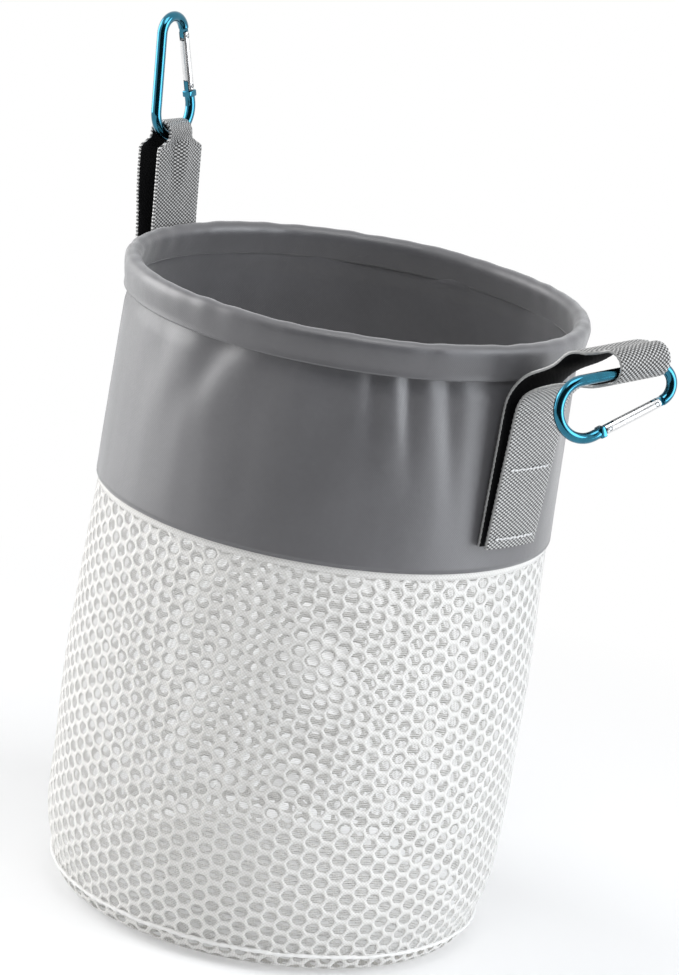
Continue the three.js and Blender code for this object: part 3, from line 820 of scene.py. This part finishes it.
def makeStrap(name, side):
    places, length = evenStations(strapLine(side), strap["stations"])
    halfWidth = strap["width"] / 2

    def beforeBight(s, ends):
        # rises from 0 to 1 between two distances short of the bight
        return smoothStep(s, side["bightZ"] - ends[0], side["bightZ"] - ends[1])

    bm = bmesh.new()
    flatSheet(bm, length * mm, strap["width"] * mm, strap["stations"] - 1, strap["acrossSteps"])
    keepFlatUv(bm)
    along = Vector((math.sin(side["lean"]), math.cos(side["lean"])))
    for vert in bm.verts:
        station = round(vert.co.x / (length * mm) * (strap["stations"] - 1))
        radius, z, s = places[station]
        across = vert.co.y / mm - halfWidth
        if abs(across) > halfWidth - strap["edgeBand"]:
            across *= 1 + strap["edgeWave"] * math.sin(2 * math.pi * vert.co.x / mm / strap["edgePitch"])
        across *= mixed(1, side["gathered"] / strap["width"], beforeBight(s, strap["gather"]))
        skew = side["skew"] * smoothStep(s, 0, side["bightZ"])
        flat = Vector((radius, z)) + along * across * math.sin(skew)
        if station < strap["stations"] / 2:
            fold = beforeBight(s, strap["creaseStart"]) * (1 - beforeBight(s, strap["creaseEnd"]))
            pleat = sum(
                depth * math.exp(-((across - place) / width) ** 2) for depth, place, width in strap["pleats"]
            )
            flat += Vector((along.y, -along.x)) * side["crease"] * fold * pleat
        across *= math.cos(skew)
        flatness = smoothStep(s, *strap["flatten"])
        wrapped = across / bag["bandFootRadius"] * (1 - flatness)
        x = flat.x * math.cos(wrapped)
        y = flat.x * math.sin(wrapped) + across * flatness
        vert.co = Vector((x, y, flat.y)) * mm
    turnVerts(bm, bm.verts, side["turn"], "Z")
    piece = finishPiece(name + "Webbing", bm, strapGrey, None, weld=0)
    faceUp(piece)
    piece.data.materials.append(strapBlack)
    wall = addThickness(piece, strap["thickness"] * mm, offset=0)
    wall.material_offset = 1
    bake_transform(piece)
    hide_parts(name + "_strap_tab", name + "_strap_loop")


stitch = {
    "count": 11, "pitch": 2.1, "length": 1.25, "width": 0.55, "height": 0.34, "proud": 0.3, "tilt": 12,
    "rows": {"Lower": 6, "Upper": 37},
}


def makeStitches(name, row, height, turn):
    bm = bmesh.new()
    radius = tabOuter(height) + strap["layer"] + stitch["proud"]
    beadSize = (stitch["height"] * mm, stitch["length"] * mm, stitch["width"] * mm)
    for i in range(stitch["count"]):
        bead = bmesh.ops.create_uvsphere(bm, u_segments=10, v_segments=6, radius=1.0)["verts"]
        tilt = math.radians(stitch["tilt"] * (-1) ** i)
        angle = (i - (stitch["count"] - 1) / 2) * stitch["pitch"] / bag["bandFootRadius"]
        bmesh.ops.scale(bm, vec=beadSize, verts=bead)
        turnVerts(bm, bead, tilt, "X")
        moveVerts(bm, bead, (radius * mm, 0, height * mm))
        turnVerts(bm, bead, angle + turn, "Z")
    piece = finishPiece(name + row + "Stitches", bm, stitchGrey, "bag", weld=0)
    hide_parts(name + "_" + row.lower() + "_stitching")


for strapName, strapSide in straps.items():
    makeStrap(strapName, strapSide)
    for rowName, rowRise in stitch["rows"].items():
        makeStitches(strapName, rowName, strap["tabFoot"] + rowRise, strapSide["turn"])
print("straps made")

hook = {
    "rodRadius": 2.3, "wideRadius": 12.0, "narrowRadius": 7.5, "span": 53.4, "nose": 5.0,
    "sides": 20, "wideSteps": 36, "narrowSteps": 30, "endBevel": 0.35, "sharpAngle": 40,
    # the two tongues that the gate closes over, with the latch's notch, the hinge's eye and a collar
    "latch": 7.2, "latchHalf": 0.95, "hinge": 30.7, "hingeBore": 1.05,
    "tongue": 3.6, "tongueThickness": 2.0, "tongueReach": 4.5, "tongueRoot": 1.0,
    "eyeOverlap": 1.1, "eyeSides": 20, "collar": 3.0, "collarBevel": 0.5,
}
# axes are a hook's own X, Y and Z on the bag; known is a point in the hook and place is where it lies
hooks = {
    "left": {
        "axes": ((-0.08676, -0.00835, 0.99619), (-0.09585, 0.9954, 0), (-0.99161, -0.09548, -0.08716)),
        "known": (1.774, 12.0, 0), "place": (-112.22, -10.81, 322.64),
    },
    "right": {
        "axes": ((0.35224, 0.91355, 0.20337), (0.23105, 0.12569, -0.9648), (-0.90694, 0.38683, -0.1668)),
        "known": (36.95, 0, 0), "place": (153.02, -0.34, 288.43),
    },
}
wideCentre = Vector((hook["wideRadius"], hook["wideRadius"], 0))
narrowCentre = Vector((hook["span"] - hook["narrowRadius"], hook["narrowRadius"], 0))
centreStep = narrowCentre - wideCentre
gateAngle = 2 * math.atan2(centreStep.y, centreStep.x)
gateWay = Vector((math.cos(gateAngle), math.sin(gateAngle), 0))
gateStart = wideCentre + Vector((-gateWay.y, gateWay.x, 0)) * hook["wideRadius"]
gateTurn = Matrix.Translation(gateStart) @ Matrix.Rotation(gateAngle, 4, "Z")


def hookPlace(side):
    turn = Matrix(side["axes"]).transposed().to_4x4()
    shift = Vector(side["place"]) - turn @ Vector(side["known"])
    return Matrix.Scale(mm, 4) @ Matrix.Translation(shift) @ turn


def lastRing(geom):
    verts = vertsOf(geom)
    edges = [g for g in geom if isinstance(g, bmesh.types.BMEdge) and all(v in verts for v in g.verts)]
    return verts, edges


def plateFrom(bm, outline, thickness):
    # a flat plate on an outline of a few places, standing both sides of its plane
    verts = [bm.verts.new((x, y, -thickness / 2)) for x, y in outline]
    face = bmesh.ops.contextual_create(bm, geom=verts)["faces"]
    top = vertsOf(bmesh.ops.extrude_face_region(bm, geom=face)["geom"])
    moveVerts(bm, top, (0, 0, thickness))
    return verts + top


def makeRod(bm):
    # the bent rod: from the nose round the wide end, along the back and round the narrow end
    ring = addRing(bm, hook["sides"], hook["rodRadius"])
    firstEdges = bm.edges[:]
    turnVerts(bm, ring, quarterTurn, "Y")
    turnVerts(bm, ring, gateAngle, "Z")
    moveVerts(bm, ring, gateStart + gateWay * hook["nose"])
    verts, edges = lastRing(bmesh.ops.extrude_edge_only(bm, edges=firstEdges)["geom"])
    moveVerts(bm, verts, -gateWay * hook["nose"])
    spun = bmesh.ops.spin(
        bm, geom=verts + edges, cent=wideCentre, axis=(0, 0, 1), angle=math.pi - gateAngle,
        steps=hook["wideSteps"],
    )
    verts, edges = lastRing(spun["geom_last"])
    verts, edges = lastRing(bmesh.ops.extrude_edge_only(bm, edges=edges)["geom"])
    back = hook["span"] - hook["wideRadius"] - hook["narrowRadius"]
    moveVerts(bm, verts, (back, 0, 0))
    spun = bmesh.ops.spin(
        bm, geom=verts + edges, cent=narrowCentre, axis=(0, 0, 1), angle=math.pi + gateAngle,
        steps=hook["narrowSteps"],
    )
    verts, edges = lastRing(spun["geom_last"])
    bmesh.ops.contextual_create(bm, geom=edges)
    bmesh.ops.contextual_create(bm, geom=firstEdges)
    bevelEdges(bm, edges + firstEdges, hook["endBevel"])


def makeEye(bm, half):
    # the round eye at the end of the hinge's tongue, with the pin's bore
    sides = hook["eyeSides"]
    eye = addRing(bm, sides, half)
    bore = addRing(bm, sides, hook["hingeBore"])
    eyeEdges = [e for e in bm.edges if not e.link_faces]
    eyeFaces = bmesh.ops.bridge_loops(bm, edges=eyeEdges)["faces"]
    eyeTop = vertsOf(bmesh.ops.extrude_face_region(bm, geom=eyeFaces)["geom"])
    moveVerts(bm, eyeTop, (0, 0, hook["tongueThickness"]))
    eyeAll = eye + bore + eyeTop
    moveVerts(bm, eyeAll, (hook["hinge"], 0, -hook["tongueThickness"] / 2))
    return eyeAll


def makeHookFrame(name, side):
    bm = bmesh.new()
    makeRod(bm)
    half = hook["tongue"] / 2
    notch = hook["latchHalf"]
    latchLow, latchHigh = hook["latch"] - notch, hook["latch"] + notch
    noseRoot, noseTip = hook["nose"] - hook["tongueRoot"], hook["nose"] + hook["tongueReach"]
    noseTongue = plateFrom(bm, [
        (noseRoot, -half), (latchLow, -half), (latchLow, notch), (latchHigh, notch),
        (latchHigh, -half), (noseTip, -half), (noseTip, half), (noseRoot, half),
    ], hook["tongueThickness"])
    hingeTip = hook["hinge"] + hook["eyeOverlap"]
    hingeRoot = centreStep.dot(gateWay) + hook["tongueRoot"]
    hingeTongue = plateFrom(bm, [
        (hingeTip, -half), (hingeRoot, -half), (hingeRoot, half), (hingeTip, half),
    ], hook["tongueThickness"])
    eyeAll = makeEye(bm, half)
    thick = 2 * hook["rodRadius"]
    collar = addBlock(bm, (hook["collar"], thick, thick), (hook["nose"] - hook["collar"] / 2, 0, 0))
    collarEdges = [e for e in bm.edges if e.verts[0] in collar and e.verts[1] in collar]
    bmesh.ops.transform(bm, matrix=gateTurn, verts=noseTongue + hingeTongue + eyeAll + collar)
    bevelEdges(bm, collarEdges, hook["collarBevel"])
    bmesh.ops.transform(bm, matrix=hookPlace(side), verts=bm.verts)
    piece = finishPiece(name + "HookFrame", bm, anodisedBlue, name + "_hook", weld=0)
    piece.data.set_sharp_from_angle(angle=math.radians(hook["sharpAngle"]))
    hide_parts(name + "_hook_frame")


def cutAway(piece, bm):
    # takes a closed shape out of a piece and keeps only the result
    data = bpy.data.meshes.new("cutter")
    bmesh.ops.recalc_face_normals(bm, faces=bm.faces)
    bm.to_mesh(data)
    bm.free()
    cutter = bpy.data.objects.new("cutter", data)
    scene.collection.objects.link(cutter)
    cut = piece.modifiers.new("cut", "BOOLEAN")
    cut.operation = "DIFFERENCE"
    cut.solver = "EXACT"
    cut.use_self = True
    cut.object = cutter
    bpy.context.view_layer.update()
    whole = bpy.data.meshes.new_from_object(piece.evaluated_get(bpy.context.evaluated_depsgraph_get()))
    piece.modifiers.clear()
    piece.data = whole
    bpy.data.objects.remove(cutter)


gate = {
    "radius": 2.2, "heel": 1.79, "gap": 0.3, "sides": 32, "bevel": 0.3, "sharpAngle": 35,
    "slotWidth": 2.6, "noseSlot": 4.8, "hingeSlot": 2.1, "past": 1.0, "boreSides": 16,
    "springRadius": 0.9, "springSides": 12, "springDepth": 11.3, "springLength": 13.0,
}


def addRod(bm, sides, radius, length):
    rod = bmesh.ops.create_cone(
        bm, cap_ends=True, segments=sides, radius1=radius, radius2=radius, depth=length,
    )
    return rod["verts"]


def gateCutters(reach):
    # what is cut from the gate: two slots for the tongues, the pins' bores and the spring's bore
    tools = bmesh.new()
    noseSlot = (-reach - gate["past"], -reach + gate["noseSlot"])
    hingeSlot = (-gate["hingeSlot"], gate["heel"] + gate["past"])
    for low, high in (noseSlot, hingeSlot):
        addBlock(tools, (high - low, 3 * gate["radius"], gate["slotWidth"]), ((low + high) / 2, 0, 0))
    for along, radius in ((0, hook["hingeBore"]), (hook["latch"] - hook["hinge"], hook["latchHalf"])):
        bore = addRod(tools, gate["boreSides"], radius, 3 * gate["radius"])
        moveVerts(tools, bore, (along, 0, 0))
    spring = addRod(tools, gate["springSides"], gate["springRadius"], gate["springLength"])
    springMiddle = -gate["hingeSlot"] - gate["springDepth"] + gate["springLength"] / 2
    turnVerts(tools, spring, quarterTurn, "Y")
    moveVerts(tools, spring, (springMiddle, 0, 0))
    return tools


def makeGate(name, side):
    place = hookPlace(side) @ gateTurn @ Matrix.Translation((hook["hinge"], 0, 0))
    reach = hook["hinge"] - hook["nose"] - gate["gap"]
    length = reach + gate["heel"]
    bm = bmesh.new()
    addRod(bm, gate["sides"], gate["radius"], length)
    ends = [e for e in bm.edges if abs(e.verts[0].co.z - e.verts[1].co.z) < 1e-4]
    bevelEdges(bm, ends, gate["bevel"])
    turnVerts(bm, bm.verts, quarterTurn, "Y")
    moveVerts(bm, bm.verts, (gate["heel"] - length / 2, 0, 0))
    bmesh.ops.transform(bm, matrix=place, verts=bm.verts)
    piece = finishPiece(name + "GateBar", bm, gateSilver, None, weld=0)
    tools = gateCutters(reach)
    bmesh.ops.transform(tools, matrix=place, verts=tools.verts)
    cutAway(piece, tools)
    for polygon in piece.data.polygons:
        polygon.use_smooth = True
    piece.data.set_sharp_from_angle(angle=math.radians(gate["sharpAngle"]))
    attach(piece, name + "_gate")
    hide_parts(name + "_gate")


for hookName, hookSide in hooks.items():
    makeHookFrame(hookName, hookSide)
    makeGate(hookName, hookSide)
print("hooks made")

# the steel that shows as it was cut: hoop, ferrule, pins and springs
steelNodes = ["rim_hoop", "hoop_ferrule"]
steelNodes += [side + part for side in hooks for part in ("_hinge_pin", "_latch_pin", "_gate_spring")]
for nodeName in steelNodes:
    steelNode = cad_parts[nodeName]
    steelNode.data.materials.clear()
    steelNode.data.materials.append(springSteel)

view = {
    "azimuth": math.radians(40), "elevation": math.radians(12.04), "roll": math.radians(9.24),
    "centre": Vector((0, 0, 0.3109)), "distance": 1.838, "lens": 157.7, "sensor": 36,
    "aim": (-0.0129, -0.1147),
}
rightWay = Vector((math.cos(view["azimuth"]), math.sin(view["azimuth"]), 0))
frontWay = Vector((math.sin(view["azimuth"]), -math.cos(view["azimuth"]), 0))
backWay = frontWay * math.cos(view["elevation"]) + Vector((0, 0, math.sin(view["elevation"])))
upWay = backWay.cross(rightWay)
rolledRight = rightWay * math.cos(view["roll"]) + upWay * math.sin(view["roll"])
rolledUp = upWay * math.cos(view["roll"]) - rightWay * math.sin(view["roll"])
eye = view["centre"] + backWay * view["distance"]
aim = view["centre"] + rolledRight * view["aim"][0] + rolledUp * view["aim"][1]
cameraBack = (eye - aim).normalized()
cameraRight = rolledUp.cross(cameraBack).normalized()
cameraUp = cameraBack.cross(cameraRight)
cameraTurn = Matrix((cameraRight, cameraUp, cameraBack)).transposed().to_4x4()
cameraData = bpy.data.cameras.new("photoCamera")
cameraData.lens = view["lens"]
cameraData.sensor_width = view["sensor"]
camera = bpy.data.objects.new("photoCamera", cameraData)
scene.collection.objects.link(camera)
camera.matrix_world = Matrix.Translation(eye) @ cameraTurn
scene.camera = camera


def seenRays(tree):
    # 1 for the rays that show the white background: straight to it, in gloss and through glass
    ray = addNode(tree, "ShaderNodeLightPath")
    seen = addMath(tree, "MAXIMUM", ray.outputs["Is Camera Ray"], ray.outputs["Is Glossy Ray"])
    return addMath(tree, "MAXIMUM", seen, ray.outputs["Is Transmission Ray"])


def mixInto(tree, share, first, second, end):
    mix = addNode(tree, "ShaderNodeMixShader")
    for i, source in enumerate((share, first.outputs[0], second.outputs[0])):
        tree.links.new(source, mix.inputs[i])
    tree.links.new(mix.outputs[0], end.inputs[0])


def stageSheet(name, size, material, place):
    bm = bmesh.new()
    bmesh.ops.create_grid(bm, x_segments=2, y_segments=2, size=size)
    bmesh.ops.transform(bm, matrix=place, verts=bm.verts)
    data = bpy.data.meshes.new(name)
    bm.to_mesh(data)
    bm.free()
    sheet = bpy.data.objects.new(name, data)
    scene.collection.objects.link(sheet)
    data.materials.append(material)
    return sheet


worldLook = {"colour": (0.95, 0.97, 1.0, 1), "strength": 0.38}
world = bpy.data.worlds.new("studioWorld")
world.use_nodes = True
scene.world = world
worldTree = world.node_tree
worldTree.nodes.clear()
worldLight = addNode(
    worldTree, "ShaderNodeBackground", {"Color": worldLook["colour"], "Strength": worldLook["strength"]},
)
worldWhite = addNode(worldTree, "ShaderNodeBackground", {"Color": (1, 1, 1, 1), "Strength": 1.0})
worldEnd = addNode(worldTree, "ShaderNodeOutputWorld")
mixInto(worldTree, seenRays(worldTree), worldLight, worldWhite, worldEnd)

# the floor is lit round the bag, where its shadow lies, and fades to the white background
floorLook = {
    "colour": (0.93, 0.93, 0.93, 1), "rough": 0.9, "size": 20, "drop": 0.0005,
    "fadeStart": 0.16, "fadeEnd": 0.5, "nearWhite": 0.3,
}
floorWhite, floorTree, floorShader = newMaterial("floorWhite")
floorShader.inputs["Base Color"].default_value = floorLook["colour"]
floorShader.inputs["Roughness"].default_value = floorLook["rough"]
floorPlace = addNode(floorTree, "ShaderNodeTexCoord").outputs["Object"]
floorFar = addNode(floorTree, "ShaderNodeVectorMath", operation="LENGTH")
floorTree.links.new(floorPlace, floorFar.inputs[0])
floorFade = addNode(floorTree, "ShaderNodeMapRange", {
    "From Min": floorLook["fadeStart"], "From Max": floorLook["fadeEnd"],
    "To Min": floorLook["nearWhite"], "To Max": 1.0,
})
floorTree.links.new(floorFar.outputs["Value"], floorFade.inputs["Value"])
floorShare = addMath(floorTree, "MULTIPLY", seenRays(floorTree), floorFade.outputs[0])
floorGlow = addNode(floorTree, "ShaderNodeEmission", {"Color": (1, 1, 1, 1), "Strength": 1.0})
mixInto(floorTree, floorShare, floorShader, floorGlow, floorTree.nodes["Material Output"])
floor = stageSheet("floor", floorLook["size"], floorWhite, Matrix.Translation((0, 0, -floorLook["drop"])))

# a dark card before the bag, which only gloss shows, as the unlit end of a studio would
cardLook = {"colour": (0.02, 0.02, 0.02, 1), "rough": 1.0, "size": 0.9, "side": 0.1, "front": 0.95, "up": 0.9}
cardDark, _, cardShader = newMaterial("cardDark")
cardShader.inputs["Base Color"].default_value = cardLook["colour"]
cardShader.inputs["Roughness"].default_value = cardLook["rough"]
cardPlace = frontWay * cardLook["front"] + rightWay * cardLook["side"] + Vector((0, 0, cardLook["up"]))
cardTurn = Matrix.Rotation(view["azimuth"], 4, "Z") @ Matrix.Rotation(quarterTurn, 4, "X")
card = stageSheet("darkCard", cardLook["size"], cardDark, Matrix.Translation(cardPlace) @ cardTurn)
card.visible_camera = False
card.visible_diffuse = False
card.visible_shadow = False
card.visible_transmission = False

white = (1, 1, 1)
coolWhite = (0.91, 0.95, 1.0)
lamps = {
    "leftSoft": {"place": (-1.05, -0.25, 0.45), "size": (0.8, 1.1), "watts": 13.0, "colour": white},
    "rightSoft": {"place": (1.02, 0.28, 0.45), "size": (0.6, 1.1), "watts": 10.5, "colour": coolWhite},
    "topSoft": {"place": (0.1, 0.45, 1.35), "size": (0.7, 0.7), "watts": 6.0, "colour": white},
    "frontFill": {"place": (-0.3, 1.5, 0.7), "size": (0.9, 0.9), "watts": 1.0, "colour": white},
}
lampAim = Vector((0, 0, 0.16))
for lampName, lamp in lamps.items():
    lampData = bpy.data.lights.new(lampName, "AREA")
    lampData.shape = "RECTANGLE"
    lampData.size, lampData.size_y = lamp["size"]
    lampData.energy = lamp["watts"]
    lampData.color = lamp["colour"]
    lampObject = bpy.data.objects.new(lampName, lampData)
    scene.collection.objects.link(lampObject)
    lampSide, lampFront, lampUp = lamp["place"]
    lampPlace = rightWay * lampSide + frontWay * lampFront + Vector((0, 0, lampUp))
    lampObject.location = lampPlace
    lampObject.rotation_euler = (lampPlace - lampAim).to_track_quat("Z", "Y").to_euler()
print("camera, floor and light made")
